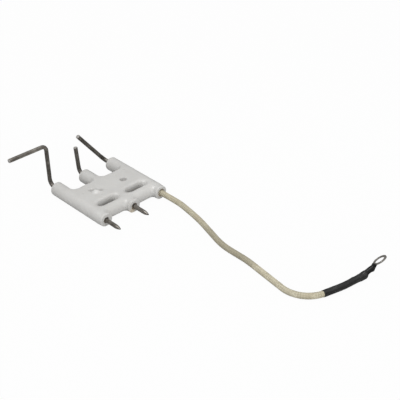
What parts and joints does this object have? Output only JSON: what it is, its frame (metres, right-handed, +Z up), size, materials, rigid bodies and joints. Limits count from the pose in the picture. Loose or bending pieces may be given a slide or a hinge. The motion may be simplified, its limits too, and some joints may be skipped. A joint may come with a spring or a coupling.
{
  "type": "ignition electrode",
  "caption": "Ceramic ignition electrode block with ionisation, ignition and earth rods and a braided earthing lead ending in a ring terminal.",
  "frame": {"origin": "midway between the two fixing slots, at the height of the barrel axes", "axes": "+Y out of the block's front end along the barrels towards the electrode tips, +X towards the earth rod and its lead, +Z up, the way the rods are bent"},
  "size_m": [0.1016, 0.1858, 0.0309],
  "materials": {
    "ceramic": "white steatite, satin",
    "rod_steel": "heat-resistant alloy wire, drawn and darkened",
    "cement": "refractory cement, rough",
    "braid": "varnished glass-fibre braid",
    "silicone": "silicone rubber",
    "conductor": "stranded copper, tinned",
    "sleeve": "shrunk tubing, soft sheen",
    "tinned": "tinned copper sheet, satin"
  },
  "bodies": {
    "block": {"ceramic_body": "ceramic", "ionisation_electrode": "rod_steel", "ignition_electrode": "rod_steel", "earth_electrode": "rod_steel", "ionisation_cement_seal": "cement", "ignition_cement_seal": "cement", "earth_cement_seal": "cement", "crimp_ferrule": "tinned", "lead_braid_1": "braid", "lead_insulation_1": "silicone", "lead_conductor_1": "conductor"},
    "lead_a": {"lead_braid_2": "braid", "lead_insulation_2": "silicone", "lead_conductor_2": "conductor"},
    "lead_b": {"lead_braid_3": "braid", "lead_insulation_3": "silicone", "lead_conductor_3": "conductor"},
    "lead_c": {"lead_braid_4": "braid", "lead_insulation_4": "silicone", "lead_conductor_4": "conductor"},
    "lead_end": {"lead_braid_5": "braid", "lead_insulation_5": "silicone", "lead_conductor_5": "conductor", "heat_shrink_sleeve": "sleeve", "ring_terminal": "tinned"}
  },
  "joints": [
    {"name": "lead_swing_at_block", "type": "hinge", "parent": "block", "child": "lead_a", "pos_m": [0.02, -0.02025, 0], "axis": [0, 0, 1], "range_deg": [-35, 35], "stiffness_Nm_per_rad": 0.002},
    {"name": "lead_lift_mid", "type": "hinge", "parent": "lead_a", "child": "lead_b", "pos_m": [0.01451, -0.05743, -0.00189], "axis": [-0.9611, 0.2763, 0], "range_deg": [0, 40], "stiffness_Nm_per_rad": 0.002},
    {"name": "lead_swing_mid", "type": "hinge", "parent": "lead_b", "child": "lead_c", "pos_m": [0.01089, -0.08044, -0.00225], "axis": [0, 0, 1], "range_deg": [-35, 35], "stiffness_Nm_per_rad": 0.002},
    {"name": "lead_lift_near_terminal", "type": "hinge", "parent": "lead_c", "child": "lead_end", "pos_m": [0.00859, -0.10414, -0.00225], "axis": [-0.99, 0.1411, 0], "range_deg": [0, 40], "stiffness_Nm_per_rad": 0.002}
  ]
}
